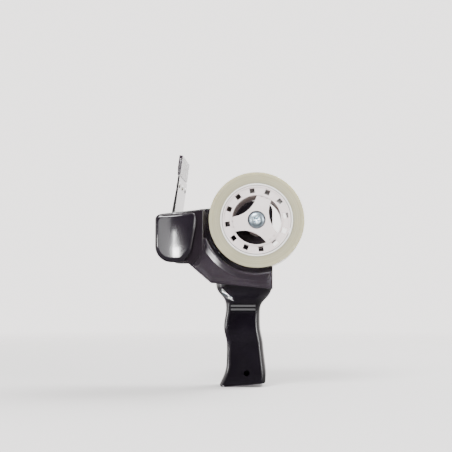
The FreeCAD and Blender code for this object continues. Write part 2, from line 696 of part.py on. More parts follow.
def lean(body):
    """Stand a body that was drawn upright on the blade plate's leaning line."""
    foot = Vector(size("blade_foot_x"), 0, size("base_bottom"))
    body.Placement = Placement(foot, Rotation(Vector(0, 1, 0), size("blade_lean")))
    body.setExpression("Placement.Base.x", linked("blade_foot_x"))
    body.setExpression("Placement.Base.z", linked("base_bottom"))
    body.setExpression("Placement.Rotation.Angle", linked("blade_lean"))


def blade_plate():
    """Pressed steel plate with a tapering ear along each side."""
    body = new_body("blade_plate")
    sheet_edge = sketch_on(body, "XZ_Plane", "sheet_outline", "blade_plate_start")
    polygon(sheet_edge, [
        ("- blade_plate_half", "0"), ("blade_plate_half", "0"),
        ("blade_plate_half", "blade_plate_height"), ("- blade_plate_half", "blade_plate_height")])
    pad(body, sheet_edge, "sheet", "blade_plate_width")
    starts = ("blade_plate_start", "blade_plate_start + blade_plate_width - ear_thickness")
    for number, start in enumerate(starts):
        ear = sketch_on(body, "XZ_Plane", "ear_outline_%d" % number, start)
        polygon(ear, [
            ("- blade_plate_half", "ear_foot"), ("- blade_plate_half", "ear_top"),
            ("- blade_plate_half - ear_reach", "ear_foot")])
        pad(body, ear, "ear_%d" % number, "ear_thickness")
    for number, start in enumerate(RIVETS):
        hole = sketch_on(body, "YZ_Plane", "plate_hole_outline_%d" % number, "blade_plate_half")
        circle(hole, minus(start), "rivet_height", "rivet_radius")
        pocket(body, hole, "plate_hole_%d" % number, "blade_plate_half + blade_plate_half")
    lean(body)
    return body


def blade():
    """Serrated steel strip: a plain band and a row of teeth."""
    body = new_body("serrated_blade")
    band = sketch_on(body, "XZ_Plane", "band_outline", "blade_start")
    polygon(band, [
        ("blade_left", "blade_foot"), ("- blade_plate_half", "blade_foot"),
        ("- blade_plate_half", "blade_top"), ("blade_left", "blade_top")])
    pad(body, band, "blade_band", "blade_width")
    tooth = sketch_on(body, "YZ_Plane", "tooth_outline", "blade_left")
    polygon(tooth, [
        ("- blade_start", "blade_top"), ("- blade_start - tooth_pitch", "blade_top"),
        ("- blade_start - tooth_half", "tooth_tip")])
    first = pad(body, tooth, "tooth", "- blade_plate_half - blade_left")
    teeth = body.newObject("PartDesign::LinearPattern", "teeth")
    teeth.Originals = [first]
    teeth.Direction = (tooth, ["H_Axis"])
    teeth.Reversed = True
    teeth.setExpression("Length", linked("blade_width - tooth_pitch"))
    teeth.Occurrences = round(size("blade_width") / size("tooth_pitch"))
    body.Tip = teeth
    for number, start in enumerate(RIVETS):
        hole = sketch_on(body, "YZ_Plane", "blade_hole_outline_%d" % number, "- blade_plate_half")
        circle(hole, minus(start), "rivet_height", "rivet_radius")
        pocket(body, hole, "blade_hole_%d" % number, "- blade_plate_half - blade_left")
    lean(body)
    return body


def blade_rivets():
    """Three rivets through the blade and its plate, with a head on each side."""
    rivets = []
    head = size("rivet_head_height")
    crown_radius = size("rivet_crown_radius")
    left = size("blade_left")
    right = size("blade_plate_half")
    rivet_radius = size("rivet_radius")
    head_radius = size("rivet_head_radius")
    along = Vector(1, 0, 0)
    foot = Placement(Vector(size("blade_foot_x"), 0, size("base_bottom")),
                     Rotation(Vector(0, 1, 0), size("blade_lean")))
    for name in RIVETS:
        middle = Vector(left - head, -size(name), size("rivet_height"))
        shank = Part.makeCylinder(rivet_radius, right - left + 2 * head, middle, along)
        front = Part.makeCone(crown_radius, head_radius, head, middle, along)
        back_at = Vector(right, middle.y, middle.z)
        back = Part.makeCone(head_radius, crown_radius, head, back_at, along)
        solid = shank.fuse(front).fuse(back).removeSplitter()
        solid.Placement = foot
        rivets.append(solid)
    return coded("blade_rivets", Part.makeCompound(rivets))


def blade_guard():
    """Plastic cap that slips over the teeth."""
    body = new_body("blade_guard")
    outline = sketch_on(body, "XZ_Plane", "guard_outline", "guard_start")
    polygon(outline, [
        ("guard_lip_left", "guard_foot"), ("guard_slot_left", "guard_foot"),
        ("guard_slot_left", "guard_slot_top"), ("guard_slot_right", "guard_slot_top"),
        ("guard_slot_right", "guard_foot"), ("guard_right", "guard_foot"),
        ("guard_right", "guard_top"), ("guard_left", "guard_top"), ("guard_left", "guard_waist")])
    pad(body, outline, "guard", "guard_width")
    lean(body)
    return body


def tack_roller():
    """Rubber sleeve on a plastic core, its steel axle and two spacing washers."""
    axle = turned("roller_axle", [("0", "axle_start"), ("axle_radius", "axle_start"),
                                  ("axle_radius", "axle_end"), ("0", "axle_end")])
    core = ring("roller_core", "roller_bore", "roller_core_radius", "roller_start", "roller_end")
    sleeve = ring("roller_sleeve", "roller_core_radius", "roller_radius",
                  "roller_start + sleeve_inset", "roller_end - sleeve_inset")
    far = ring("washer_far", "axle_radius", "washer_radius", "plate_depth", "plate_depth + washer_thickness")
    near = ring("washer_near", "axle_radius", "washer_radius", "head_depth - washer_thickness", "head_depth")
    for piece in (axle, core, sleeve, far, near):
        move_to(piece, "roller_x", "roller_z")
    return [axle, core, sleeve, group("roller_washers", [far, near])]


def guide_bar():
    """Steel pin that leads the tape into the head."""
    bar = turned("guide_bar", [("0", "axle_start"), ("guide_radius", "axle_start"),
                               ("guide_radius", "axle_end"), ("0", "axle_end")])
    move_to(bar, "guide_x", "guide_z")
    return bar


def hub_wheel():
    """One-piece hub: outer sleeve, pierced face, middle barrel and bearing tube."""
    body = turned("hub_wheel", [
        ("hub_radius", "hub_start"), ("hub_radius", "hub_lip_face"), ("hub_outer_lip", "hub_lip_face"),
        ("hub_outer_lip", "hub_face"), ("hub_inner_lip", "hub_face"), ("hub_inner_lip", "hub_lip_face"),
        ("barrel_inner", "hub_lip_face"), ("barrel_inner", "hub_face"), ("hub_recess", "hub_face"),
        ("hub_recess", "hub_floor"), ("hub_screw_hole", "hub_floor"), ("hub_screw_hole", "hub_floor_back"),
        ("hub_bore", "hub_floor_back"), ("hub_bore", "hub_start"), ("hub_tube_radius", "hub_start"),
        ("hub_tube_radius", "hub_web_back"), ("barrel_inner", "hub_web_back"),
        ("barrel_inner", "barrel_start"), ("barrel_outer", "barrel_start"),
        ("barrel_outer", "hub_web_back"), ("hub_sleeve_inner", "hub_web_back"),
        ("hub_sleeve_inner", "hub_start")])

    window = sketch_on(body, "XZ_Plane", "window_outline", "hub_face", "window_turn")
    reach = size("barrel_inner")
    middle = size("window_centre")
    inner = size("window_radius")
    across = (reach ** 2 - inner ** 2 + middle ** 2) / (2 * middle)
    half_turn = math.acos(across / reach)
    rise = reach * math.sin(half_turn)
    inner_turn = math.atan2(rise, across - middle)
    outer_ring = Part.Circle(Vector(0, 0, 0), Vector(0, 0, 1), reach)
    inner_ring = Part.Circle(Vector(middle, 0, 0), Vector(0, 0, 1), inner)
    window.addGeometry(Part.ArcOfCircle(outer_ring, -half_turn, half_turn), False)
    window.addGeometry(Part.ArcOfCircle(inner_ring, inner_turn, 2 * math.pi - inner_turn), False)
    window.addConstraint(Sketcher.Constraint("Coincident", 0, 3, -1, 1))
    window.addConstraint(Sketcher.Constraint("Coincident", 0, 2, 1, 1))
    window.addConstraint(Sketcher.Constraint("Coincident", 0, 1, 1, 2))
    pin_point(window, 1, 3, "window_centre", "0")
    hold_radius(window, 0, "barrel_inner")
    hold_radius(window, 1, "window_radius")
    opening = pocket(body, window, "window", "hub_face - hub_web_back")
    polar(body, opening, window, "windows", SPOKES)

    port = sketch_on(body, "XZ_Plane", "port_outline", "hub_face", "port_turn")
    polygon(port, [("port_inner", "- port_half"), ("port_outer", "- port_half"),
                   ("port_outer", "port_half"), ("port_inner", "port_half")])
    single = pocket(body, port, "port", "hub_face - hub_web_back")
    polar(body, single, port, "ports", PORTS)

    for number, side in enumerate(("dimple_aside", "- dimple_aside")):
        dimple = sketch_on(body, "XZ_Plane", "dimple_outline_%d" % number, "hub_lip_face", "spoke_turn")
        circle(dimple, "dimple_along", side, "dimple_radius")
        dent = pocket(body, dimple, "dimple_%d" % number, "dimple_depth + hub_lip_face - hub_face")
        polar(body, dent, dimple, "dimples_%d" % number, SPOKES)
    return body


def hub_screw():
    """Cross-head screw that holds the hub on the post."""
    body = turned("hub_screw", [
        ("0", "screw_start"), ("screw_radius", "screw_start"), ("screw_radius", "screw_seat"),
        ("screw_head_radius", "screw_seat"), ("screw_head_radius", "screw_head"), ("0", "screw_head")])
    fillet(body, at_depth("screw_head"), "screw_dome", "cross_depth")
    cross = sketch_on(body, "XZ_Plane", "cross_outline", "screw_head")
    arm = "cross_arm"
    tip = "cross_half"
    polygon(cross, [
        (tip, "- " + arm), (tip, arm), (arm, arm), (arm, tip), ("- " + arm, tip), ("- " + arm, arm),
        ("- " + tip, arm), ("- " + tip, "- " + arm), ("- " + arm, "- " + arm), ("- " + arm, "- " + tip),
        (arm, "- " + tip), (arm, "- " + arm)])
    pocket(body, cross, "cross", "cross_depth")
    return body


def drag_spring():
    """Small compression spring of the hub's brake, under the screw's washer."""
    wire = size("spring_wire")
    start = size("spring_start") + wire
    length = size("hub_washer_start") - size("spring_start") - 2 * wire
    radius = size("spring_radius")
    helix = Part.makeHelix(size("spring_pitch"), length, radius)
    section = Part.Wire([Part.Circle(Vector(radius, 0, 0), Vector(0, 1, 0), wire).toShape()])
    coil = Part.Wire(helix).makePipeShell([section], True, True)
    return coded("drag_spring", coil, Placement(Vector(0, -start, 0), Rotation(Vector(1, 0, 0), 90)))


def section_wire(name, inset, corner):
    """Section of the grip in a level plane: two flat sides and long edges that meet them at a crease."""
    height = size(name + "_height")
    left = size(name + "_left") + inset
    right = size(name + "_right") - inset
    half = size(name + "_half") - inset
    middle = -size("grip_depth")
    finish = math.radians(90 - size("grip_crease"))
    half_way = finish / 2

    def at(side, face, angle):
        """A point on the arc of one corner; the angle runs from the edge to the flat side."""
        edge = right if side > 0 else left
        across = edge - side * corner * (1 - math.cos(angle))
        along = middle + face * (half - corner * (math.sin(finish) - math.sin(angle)))
        return Vector(across, along, height)

    edges = []
    corners = [(1, -1), (1, 1), (-1, 1), (-1, -1)]
    for index, (side, face) in enumerate(corners):
        next_side, next_face = corners[(index + 1) % 4]
        entry, leave = (finish, 0) if index % 2 == 0 else (0, finish)
        edges.append(Part.Arc(at(side, face, entry), at(side, face, half_way), at(side, face, leave)))
        edges.append(Part.LineSegment(at(side, face, leave), at(next_side, next_face, leave)))
    return Part.Wire([edge.toShape() for edge in edges])


def grip_loft(inset, less):
    """The grip's outer form, or with an inset and smaller corners the form of its hollow."""
    wires = [section_wire(name, inset, size(name + "_corner") - less) for name, *_ in GRIP_SECTIONS]
    return Part.makeLoft(wires, True, False)


def below_line(start, finish):
    """Prism under a slanted line from one point to another, across the whole depth."""
    slope = (finish.z - start.z) / (finish.x - start.x)
    left = Vector(-BEYOND, BEYOND, start.z + slope * (-BEYOND - start.x))
    right = Vector(BEYOND, BEYOND, start.z + slope * (BEYOND - start.x))
    outline = [left, right, Vector(BEYOND, BEYOND, -2 * BEYOND), Vector(-BEYOND, BEYOND, -2 * BEYOND), left]
    return Part.Face(Part.makePolygon(outline)).extrude(Vector(0, -2 * BEYOND, 0))


def box_between(low, high):
    return Part.makeBox(high.x - low.x, high.y - low.y, high.z - low.z, low)


def neck_ridges():
    """Two ridges across the neck on each flat side, each with a slanted upper face."""
    left = size("ridge_left")
    along = Vector(size("ridge_right") - left, 0, 0)
    root = size("ridge_root")
    ridges = []
    for name in ("ridge_one", "ridge_two"):
        top = size(name + "_z")
        brow = size(name + "_depth")
        peak_z = top - size("ridge_drop")
        outline = [(root, top), (brow, top), (brow + size("ridge_step"), peak_z),
                   (root, peak_z - size("ridge_under")), (root, top)]
        for side in (-1, 1):
            points = [Vector(left, -size("grip_depth") + side * depth, up) for depth, up in outline]
            ridges.append(Part.Face(Part.makePolygon(points)).extrude(along))
    return ridges


def grip_form():
    """The grip's solid outer form, with its seat under the cradle, its slanted foot and its ridges."""
    seat = below_line(Vector(size("belly_x"), 0, size("belly_z")),
                      Vector(size("body_right"), 0, size("seat_right_z")))
    heel = Vector(size("foot_left"), 0, size("heel_left_z"))
    toe = Vector(size("foot_right"), 0, size("heel_right_z"))
    form = grip_loft(0, 0).common(seat).cut(below_line(heel, toe))
    normal = (toe - heel).cross(Vector(0, 1, 0)).normalize()
    rim = [edge for edge in form.Edges
           if all(abs((point.Point - heel).dot(normal)) < NEAR for point in edge.Vertexes)]
    form = form.makeFillet(size("grip_foot_round"), rim)
    return form.fuse(neck_ridges())


def grip_tongue():
    """Hollow tongue at the top of the grip that locks in the frame."""
    middle = size("grip_depth")
    half = size("tongue_half")
    wall = size("tongue_wall")
    left = size("tongue_left")
    right = size("tongue_right")
    low = size("neck_height")
    high = size("tongue_top")
    block = box_between(Vector(left, -middle - half, low), Vector(right, -middle + half, high))
    core = box_between(Vector(left + wall, -middle - half + wall, low),
                       Vector(right - wall, -middle + half - wall, high))
    return block.cut(core)


def grip_shells():
    """Both hollow halves of the grip, parted at the middle of its depth."""
    middle = size("grip_depth")
    above_foot = box_between(Vector(-BEYOND, -BEYOND, size("cavity_end")), Vector(BEYOND, BEYOND, BEYOND))
    hollow = grip_loft(size("grip_wall"), size("grip_corner_less")).common(above_foot)
    shell = grip_form().cut(hollow).fuse(grip_tongue())

    centre = Vector(size("grip_screw_x"), 0, size("grip_screw_z"))
    inward = Vector(0, -1, 0)
    seat = middle + size("grip_seat")
    point = middle - size("grip_screw_reach")
    boss = Part.makeCylinder(size("grip_boss"), BEYOND, centre, inward).common(grip_loft(0, 0))
    access = Part.makeCylinder(size("grip_access"), BEYOND, centre + inward * seat, inward)
    shank = Part.makeCylinder(size("grip_screw_radius"), seat - point, centre + inward * point, inward)
    shell = shell.fuse(boss).cut(access).cut(shank)

    low = Vector(-BEYOND, -BEYOND, -BEYOND)
    near = shell.common(box_between(low, Vector(BEYOND, -middle, BEYOND)))
    far = shell.common(box_between(Vector(-BEYOND, -middle, -BEYOND), Vector(BEYOND, BEYOND, BEYOND)))
    return [coded("grip_shell_near", one_solid(near)), coded("grip_shell_far", one_solid(far))]


def one_solid(shape):
    """The single solid of a boolean's result, with its seams merged."""
    solids = shape.removeSplitter().Solids
    if len(solids) != 1:
        raise RuntimeError("expected one solid, found %d" % len(solids))
    return solids[0]


def grip_screw():
    """Self-tapping screw at the bottom of its access hole."""
    seat = "grip_depth + grip_seat"
    point = "grip_depth - grip_screw_reach"
    body = turned("grip_screw", [
        ("0", point), ("grip_screw_radius", point), ("grip_screw_radius", seat), ("grip_head_radius", seat),
        ("grip_head_radius", seat + " + grip_head_height"), ("0", seat + " + grip_head_height")])
    move_to(body, "grip_screw_x", "grip_screw_z")
    return body


def build():
    """Every sub-part of the tape gun, one per node."""
    parts = [side_frame(), cheek_plate(), cheek_screws(), shield(), blade_base(), blade_plate(), blade(),
             blade_rivets(), blade_guard(), guide_bar(), hub_wheel(), hub_screw(), drag_spring()]
    parts += tack_roller()
    parts += grip_shells()
    parts.append(grip_screw())
    parts.append(ring("hub_washer", "screw_radius", "hub_washer_radius", "hub_washer_start", "screw_seat"))
    parts.append(ring("drag_washer", "screw_radius", "drag_radius", "drag_start", "spring_start"))
    parts.append(ring("tape_core", "core_radius", "core_outer", "tape_start", "core_end"))
    parts.append(ring("tape_roll", "core_outer", "tape_radius", "tape_start", "tape_end"))
    return parts


def check(parts):
    """Stop if any object failed or any sub-part has no sound shape."""
    for made in doc.Objects:
        if "Invalid" in made.State or "Error" in made.State:
            raise RuntimeError("%s is %s" % (made.Name, made.State))
    for part in parts:
        if part.Shape.isNull() or not part.Shape.isValid():
            raise RuntimeError("%s has no valid shape" % part.Label)


def export(parts):
    """Write one STEP file for each sub-part."""
    os.makedirs("parts", exist_ok=True)
    for part in parts:
        part.Shape.exportStep("parts/%s.step" % part.Label)
        print("%-18s %2d solid(s) %9.1f mm3" % (part.Label, len(part.Shape.Solids), part.Shape.Volume))


fill_sheet()
sub_parts = build()
doc.recompute()
check(sub_parts)
export(sub_parts)
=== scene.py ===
"""Looks of the tape gun, built round its CAD model. Metres, in the model's own frame."""
import json
import math
import random

import bmesh
import bpy
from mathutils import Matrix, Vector

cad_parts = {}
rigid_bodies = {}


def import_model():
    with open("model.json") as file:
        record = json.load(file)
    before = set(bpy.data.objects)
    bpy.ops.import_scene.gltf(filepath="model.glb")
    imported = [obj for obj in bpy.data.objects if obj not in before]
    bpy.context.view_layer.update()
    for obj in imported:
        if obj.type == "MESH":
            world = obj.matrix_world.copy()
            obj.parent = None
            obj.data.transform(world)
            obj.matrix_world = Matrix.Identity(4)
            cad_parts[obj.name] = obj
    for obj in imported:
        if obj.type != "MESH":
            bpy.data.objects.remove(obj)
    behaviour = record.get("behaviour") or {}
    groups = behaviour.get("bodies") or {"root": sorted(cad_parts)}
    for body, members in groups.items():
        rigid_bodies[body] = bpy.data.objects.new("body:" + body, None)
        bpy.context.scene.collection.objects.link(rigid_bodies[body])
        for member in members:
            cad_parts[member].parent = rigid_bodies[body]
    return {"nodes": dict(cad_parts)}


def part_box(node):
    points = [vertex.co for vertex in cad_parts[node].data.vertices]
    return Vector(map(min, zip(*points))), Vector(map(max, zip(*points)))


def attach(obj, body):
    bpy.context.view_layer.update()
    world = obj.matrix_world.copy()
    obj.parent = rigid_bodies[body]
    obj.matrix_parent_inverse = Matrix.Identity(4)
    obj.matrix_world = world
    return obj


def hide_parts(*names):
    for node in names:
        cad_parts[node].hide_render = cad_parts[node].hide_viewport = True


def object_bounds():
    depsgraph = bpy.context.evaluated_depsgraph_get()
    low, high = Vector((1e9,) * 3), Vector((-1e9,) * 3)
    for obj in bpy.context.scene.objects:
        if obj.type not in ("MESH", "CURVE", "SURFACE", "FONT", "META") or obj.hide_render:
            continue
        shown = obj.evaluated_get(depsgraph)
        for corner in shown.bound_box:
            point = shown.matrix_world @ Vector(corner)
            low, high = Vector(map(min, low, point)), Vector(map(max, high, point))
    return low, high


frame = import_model()
cad_low, cad_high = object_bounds()
NODES = frame["nodes"]
MM = 0.001


# ---------------------------------------------------------------- shader helpers

class Shader:
    """A small wrapper that adds nodes to one material and links them by name."""

    def __init__(self, name):
        self.material = bpy.data.materials.new(name)
        self.material.use_nodes = True
        self.tree = self.material.node_tree
        self.tree.nodes.clear()
        output = self.tree.nodes.new("ShaderNodeOutputMaterial")
        self.surface = self.tree.nodes.new("ShaderNodeBsdfPrincipled")
        self.link(self.surface.outputs["BSDF"], output.inputs["Surface"])

    def link(self, source, target):
        """Link an output to an input."""
        self.tree.links.new(source, target)

    def feed(self, socket, source):
        """Link a source to one input of the surface."""
        self.link(source, self.surface.inputs[socket])

    def constants(self, **values):
        """Fixed values for inputs of the surface, with _ for each space in an input's name."""
        for name, value in values.items():
            self.surface.inputs[name.replace("_", " ")].default_value = value

    def node(self, kind, **settings):
        """A new shader node of one kind, with its settings."""
        made = self.tree.nodes.new("ShaderNode" + kind)
        for name, value in settings.items():
            setattr(made, name, value)
        return made

    def position(self, stretch=(1, 1, 1)):
        """Object coordinates, stretched along the axes."""
        coordinates = self.node("TexCoord")
        mapping = self.node("Mapping")
        mapping.inputs["Scale"].default_value = stretch
        self.link(coordinates.outputs["Object"], mapping.inputs["Vector"])
        return mapping.outputs["Vector"]

    def split(self, kind):
        """X, Y and Z of the Object coordinates or of the Normal."""
        coordinates = self.node("TexCoord")
        parts = self.node("SeparateXYZ")
        self.link(coordinates.outputs[kind], parts.inputs["Vector"])
        return parts.outputs

    def radius(self):
        """Distance from the spindle axis."""
        place = self.split("Object")
        across = self.math("MULTIPLY", place["X"], place["X"])
        up = self.math("MULTIPLY", place["Z"], place["Z"])
        return self.math("SQRT", self.math("ADD", across, up))

    def noise(self, source, scale, detail=3.0, roughness=0.5, along="Vector"):
        """Noise with a scale in cells per metre; along W it varies with one number only."""
        made = self.node("TexNoise", noise_dimensions="1D" if along == "W" else "3D")
        made.inputs["Scale"].default_value = scale
        made.inputs["Detail"].default_value = detail
        made.inputs["Roughness"].default_value = roughness
        self.link(source, made.inputs[along])
        return made.outputs["Fac"]

    def ramp(self, factor, low, high, start=0.3, end=0.7):
        """A colour ramp between two colours."""
        made = self.node("ValToRGB")
        made.color_ramp.elements[0].position = start
        made.color_ramp.elements[0].color = (*low, 1)
        made.color_ramp.elements[1].position = end
        made.color_ramp.elements[1].color = (*high, 1)
        self.link(factor, made.inputs["Fac"])
        return made.outputs["Color"]

    def spread(self, factor, low, high, start=0.25, end=0.75):
        """A number that runs from low to high as the factor runs from start to end."""
        made = self.node("MapRange")
        made.inputs["From Min"].default_value = start
        made.inputs["From Max"].default_value = end
        made.inputs["To Min"].default_value = low
        made.inputs["To Max"].default_value = high
        self.link(factor, made.inputs["Value"])
        return made.outputs["Result"]

    def math(self, operation, *values):
        """A sum, product or the like of numbers and node outputs."""
        made = self.node("Math", operation=operation)
        for socket, value in zip(made.inputs, values):
            if isinstance(value, (int, float)):
                socket.default_value = value
            else:
                self.link(value, socket)
        return made.outputs["Value"]

    def bump(self, height, strength, distance, below=None):
        """Surface relief, on top of the relief below it if there is one; distance in mm."""
        made = self.node("Bump")
        made.inputs["Strength"].default_value = strength
        made.inputs["Distance"].default_value = distance * MM
        self.link(height, made.inputs["Height"])
        if below is not None:
            self.link(below, made.inputs["Normal"])
        return made.outputs["Normal"]

    def rounded_corners(self, radius):
        """Normals that shade sharp edges as round ones, with a radius in mm."""
        made = self.node("Bevel", samples=8)
        made.inputs["Radius"].default_value = radius * MM
        return made.outputs["Normal"]


def moulded_plastic(name, dark, light, gloss, grain=0.06, coat=0.0, edge=0.0):
    """Injection-moulded plastic: faint colour drift, patchy gloss, orange peel and hairline rubs.

    gloss is the lowest and the highest roughness. edge is the radius in mm that sharp edges seem to have.
    """
    shader = Shader(name)
    place = shader.position()
    drift = shader.noise(place, scale=60.0, detail=2.0)
    shader.feed("Base Color", shader.ramp(drift, dark, light))
    patches = shader.noise(place, scale=220.0, detail=4.0)
    shader.feed("Roughness", shader.spread(patches, *gloss))
    peel = shader.noise(place, scale=1400.0, detail=2.0)
    upright_rubs = shader.position(stretch=(900, 900, 90))
    rubs = shader.noise(upright_rubs, scale=1.0, detail=3.0)
    rounded = shader.rounded_corners(edge) if edge else None
    fine = shader.bump(peel, strength=grain, distance=0.2, below=rounded)
    shader.feed("Normal", shader.bump(rubs, strength=grain / 2, distance=0.1, below=fine))
    shader.constants(IOR=1.5, Coat_Weight=coat, Coat_Roughness=0.06)
    return shader.material


def white_plastic(name, dark, light, depth):
    """Off-white moulding, slightly translucent to a depth in mm, with a soft sheen."""
    shader = Shader(name)
    place = shader.position()
    drift = shader.noise(place, scale=45.0, detail=3.0)
    shader.feed("Base Color", shader.ramp(drift, dark, light))
    patches = shader.noise(place, scale=300.0, detail=3.0)
    shader.feed("Roughness", shader.spread(patches, 0.3, 0.46))
    peel = shader.noise(place, scale=1600.0, detail=2.0)
    fine = shader.bump(peel, strength=0.08, distance=0.2)
    flow = shader.noise(place, scale=150.0, detail=2.0)
    shader.feed("Normal", shader.bump(flow, strength=0.05, distance=0.6, below=fine))
    shader.constants(IOR=1.49, Subsurface_Weight=0.2, Subsurface_Radius=(1.0, 0.9, 0.8),
                     Subsurface_Scale=depth * MM)
    return shader.material


def wound_tape():
    """Clear film wound in many layers: fine rings on the sides, faint slit lines and haze on the face."""
    shader = Shader("wound_clear_film")
    rings = shader.noise(shader.radius(), scale=1100.0, detail=6.0, roughness=0.6, along="W")
    lines = shader.noise(shader.split("Object")["Y"], scale=420.0, detail=5.0, along="W")
    haze = shader.noise(shader.position(), scale=38.0, detail=2.0)
    ring_share, line_share, haze_share = 0.4, 0.25, 0.35
    grain = shader.math("ADD", shader.math("MULTIPLY", rings, ring_share),
                        shader.math("MULTIPLY", lines, line_share))
    mixed = shader.math("ADD", grain, shader.math("MULTIPLY", haze, haze_share))
    shader.feed("Base Color", shader.ramp(mixed, (0.295, 0.28, 0.187), (0.425, 0.4, 0.288)))
    shader.feed("Roughness", shader.spread(mixed, 0.14, 0.3))
    fine = shader.bump(rings, strength=0.14, distance=0.2)
    shader.feed("Normal", shader.bump(lines, strength=0.05, distance=0.2, below=fine))
    shader.constants(IOR=1.48, Subsurface_Weight=0.85, Subsurface_Radius=(1.0, 0.97, 0.7),
                     Subsurface_Scale=6 * MM, Coat_Weight=0.6, Coat_Roughness=0.05)
    return shader.material


def worked_metal(name, dark, light, gloss, stretch, strength):
    """Metal with working marks, long along the axis with the smallest stretch, and faint stains."""
    shader = Shader(name)
    marks = shader.noise(shader.position(stretch), scale=1.0, detail=4.0, roughness=0.6)
    shader.feed("Base Color", shader.ramp(marks, dark, light))
    shader.feed("Roughness", shader.spread(marks, *gloss))
    stains = shader.noise(shader.position(), scale=130.0, detail=3.0)
    grooves = shader.bump(marks, strength, distance=0.1)
    shader.feed("Normal", shader.bump(stains, strength=0.04, distance=0.2, below=grooves))
    shader.constants(Metallic=1.0)
    return shader.material


def zinc_screw():
    """Zinc plated screw head with a painted highlight: pale and bluish in the recess, fading to the grey
    zinc towards its rim.
    """
    shader = Shader("zinc_screw_head")
    # Painted highlight: the pale bluish colour in and round the recess stands for light caught there; the
    # grey is the zinc itself.
    pale, grey = (0.78, 0.90, 0.98), (0.40, 0.49, 0.56)
    painted_glint_until, grey_from = 1.8 * MM, 3.4 * MM
    marks = shader.noise(shader.position(), scale=500.0, detail=3.0, roughness=0.6)
    uneven_radius = shader.math("ADD", shader.radius(), shader.math("MULTIPLY", marks, 0.8 * MM))
    outward = shader.spread(uneven_radius, 0.0, 1.0, painted_glint_until, grey_from)
    shader.feed("Base Color", shader.ramp(outward, pale, grey, 0.0, 1.0))
    shader.feed("Roughness", shader.spread(marks, 0.26, 0.38))
    shader.feed("Normal", shader.bump(marks, strength=0.05, distance=0.1))
    shader.constants(Metallic=1.0)
    return shader.material


def ground_rubber():
    """Dull black rubber with a fine ground grain that runs along the roller."""
    shader = Shader("ground_rubber")
    place = shader.position()
    drift = shader.noise(place, scale=80.0)
    shader.feed("Base Color", shader.ramp(drift, (0.014, 0.014, 0.015), (0.028, 0.027, 0.028)))
    shader.feed("Roughness", shader.spread(shader.noise(place, scale=500.0), 0.6, 0.85))
    grain = shader.noise(shader.position(stretch=(2600, 300, 2600)), scale=1.0, detail=3.0)
    shader.feed("Normal", shader.bump(grain, strength=0.3, distance=0.2))
    shader.constants(IOR=1.5)
    return shader.material


def smoke_plastic():
    """Clear plastic with a light smoke tint, with painted shade on the cut ends of the strip: those faces
    are dark and opaque.
    """
    shader = Shader("smoke_clear")
    clear, dark = (0.86, 0.85, 0.86), (0.03, 0.022, 0.03)
    # Painted shade: faces that look along the strip, its cut ends, are coloured dark and let no light
    # through.
    end = shader.math("ABSOLUTE", shader.split("Normal")["Y"])
    shader.feed("Base Color", shader.ramp(end, clear, dark, 0.35, 0.75))
    shader.feed("Transmission Weight", shader.spread(end, 0.88, 0.0, 0.4, 0.8))
    place = shader.position()
    patches = shader.noise(place, scale=260.0, detail=3.0)
    shader.feed("Roughness", shader.spread(patches, 0.05, 0.14))
    flow = shader.noise(place, scale=900.0, detail=2.0)
    shader.feed("Normal", shader.bump(flow, strength=0.04, distance=0.2))
    shader.constants(IOR=1.46)
    return shader.material


BLACK = moulded_plastic("black_grip", (0.0021, 0.0012, 0.0028), (0.0038, 0.0025, 0.005), (0.13, 0.21))
FRAME_BLACK = moulded_plastic("black_frame", (0.0085, 0.006, 0.0085), (0.013, 0.0095, 0.0132), (0.15, 0.24),
                              edge=0.9)
SHIELD = moulded_plastic("polished_black", (0.0066, 0.005, 0.0078), (0.01, 0.0078, 0.0115), (0.11, 0.14),
                         grain=0.002, coat=0.2)
NYLON = moulded_plastic("dark_nylon", (0.014, 0.014, 0.016), (0.024, 0.024, 0.026), (0.4, 0.55), grain=0.1)
FIBRE = moulded_plastic("pale_nylon", (0.5, 0.48, 0.42), (0.6, 0.58, 0.52), (0.45, 0.6), grain=0.1)
SMOKE = smoke_plastic()
WHITE = white_plastic("white_moulding", (0.70, 0.635, 0.625), (0.80, 0.73, 0.72), depth=1.2)
CORE_WHITE = white_plastic("white_core", (0.78, 0.76, 0.72), (0.86, 0.84, 0.81), depth=2.0)
TAPE = wound_tape()
RUBBER = ground_rubber()
SHEET_STEEL = worked_metal("rolled_sheet", (0.80, 0.79, 0.80), (0.93, 0.92, 0.93), (0.08, 0.2),
                           stretch=(1200, 60, 1200), strength=0.08)
BLADE_STEEL = worked_metal("ground_blade", (0.5, 0.5, 0.52), (0.7, 0.7, 0.72), (0.22, 0.38),
                           stretch=(1500, 1500, 120), strength=0.2)
BAR_STEEL = worked_metal("drawn_bar", (0.5, 0.5, 0.52), (0.66, 0.66, 0.68), (0.2, 0.34),
                         stretch=(1800, 80, 1800), strength=0.15)
ZINC = worked_metal("zinc_plate", (0.46, 0.56, 0.64), (0.60, 0.70, 0.78), (0.26, 0.38),
                    stretch=(300, 300, 300), strength=0.05)
SCREW_ZINC = zinc_screw()
OXIDE = worked_metal("black_oxide", (0.012, 0.012, 0.013), (0.03, 0.03, 0.032), (0.35, 0.5),
                     stretch=(500, 500, 500), strength=0.1)
RIVET = worked_metal("rivet_metal", (0.6, 0.6, 0.62), (0.76, 0.76, 0.77), (0.3, 0.45),
                     stretch=(700, 700, 700), strength=0.15)


# ---------------------------------------------------------------- CAD nodes

def smooth(piece):
    """Shade every face of a piece smooth."""
    for face in piece.data.polygons:
        face.use_smooth = True


